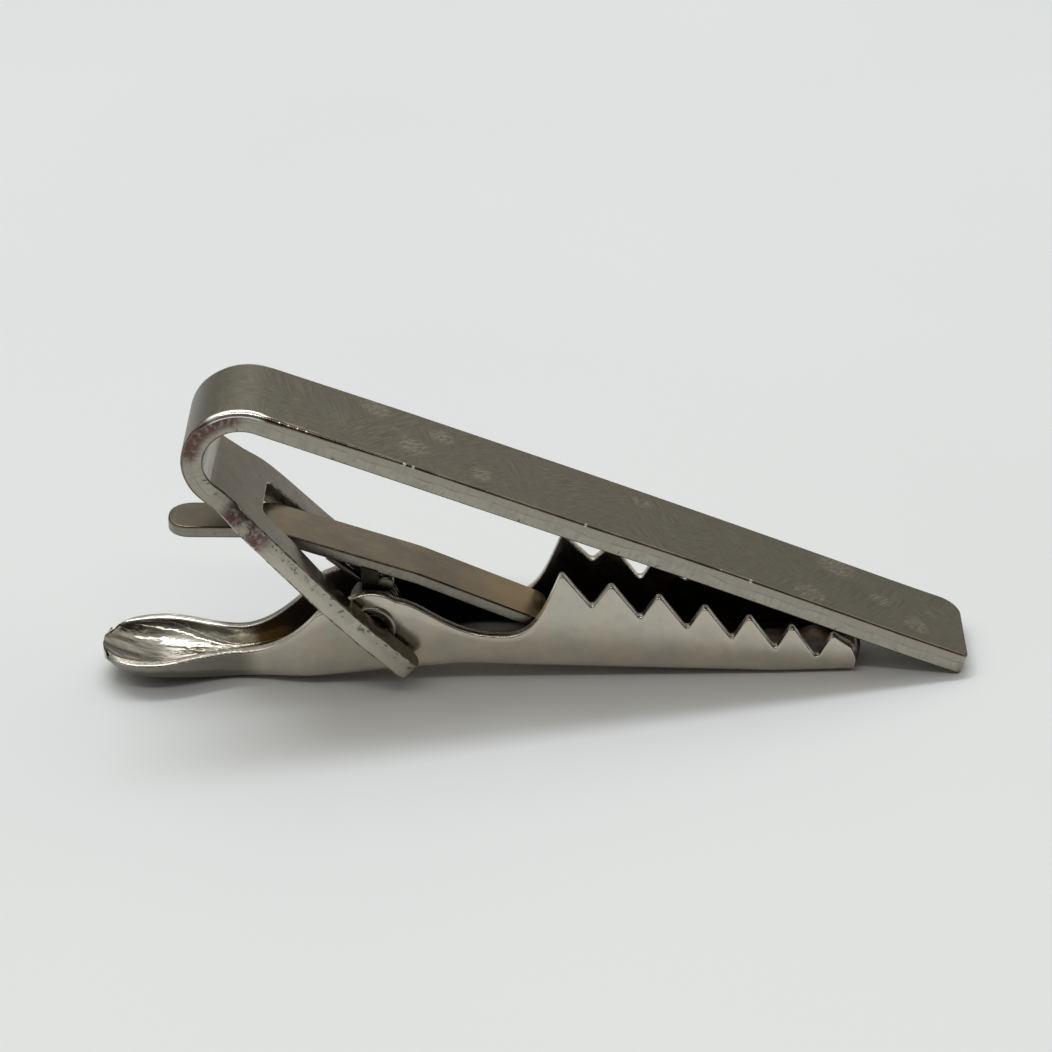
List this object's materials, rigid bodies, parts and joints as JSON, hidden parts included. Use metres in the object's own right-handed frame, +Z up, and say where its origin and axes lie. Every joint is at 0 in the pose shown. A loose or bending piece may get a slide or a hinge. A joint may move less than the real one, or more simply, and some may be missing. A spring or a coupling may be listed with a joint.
{
  "type": "tie clip",
  "caption": "Slim bent-strip tie clip with a sprung toothed jaw under the bar, opened by squeezing a thumb tab towards the jaw's fluted pad.",
  "frame": {"origin": "on the table, under the middle of the clip's length and of its width", "axes": "+X along the clip towards the bar's free tip, +Y across it towards the bar's rounded corner, +Z up from the table that the clip lies on"},
  "size_m": [0.0477, 0.0086, 0.017],
  "materials": {
    "satin_nickel": "nickel plate with a fine curved satin brushing on the bar's face and bright sheared edges",
    "polished_nickel": "polished nickel plate over pressed sheet",
    "lever_nickel": "polished nickel plate, a little worn and warm",
    "tube_nickel": "polished nickel plate, flared and hollow",
    "spring_wire": "bare drawn spring wire"
  },
  "bodies": {
    "bar": {"front_bar": "satin_nickel"},
    "jaw": {"jaw": "polished_nickel", "pivot_tube": "tube_nickel", "torsion_spring": "spring_wire"},
    "lever": {"lever": "lever_nickel"}
  },
  "joints": [
    {"name": "jaw_pivot", "type": "hinge", "parent": "bar", "child": "jaw", "pos_m": [-0.00859, 0, 0.00365], "axis": [0, 1, 0], "range_deg": [0, 20], "stiffness_Nm_per_rad": 0.01, "springref_deg": -28.65, "deforming": ["torsion_spring"]},
    {"name": "lever_pivot", "type": "hinge", "parent": "bar", "child": "lever", "pos_m": [-0.00859, 0, 0.00365], "axis": [0, -1, 0], "range_deg": [0, 9], "stiffness_Nm_per_rad": 0.005, "springref_deg": -28.65, "deforming": ["torsion_spring"]}
  ]
}
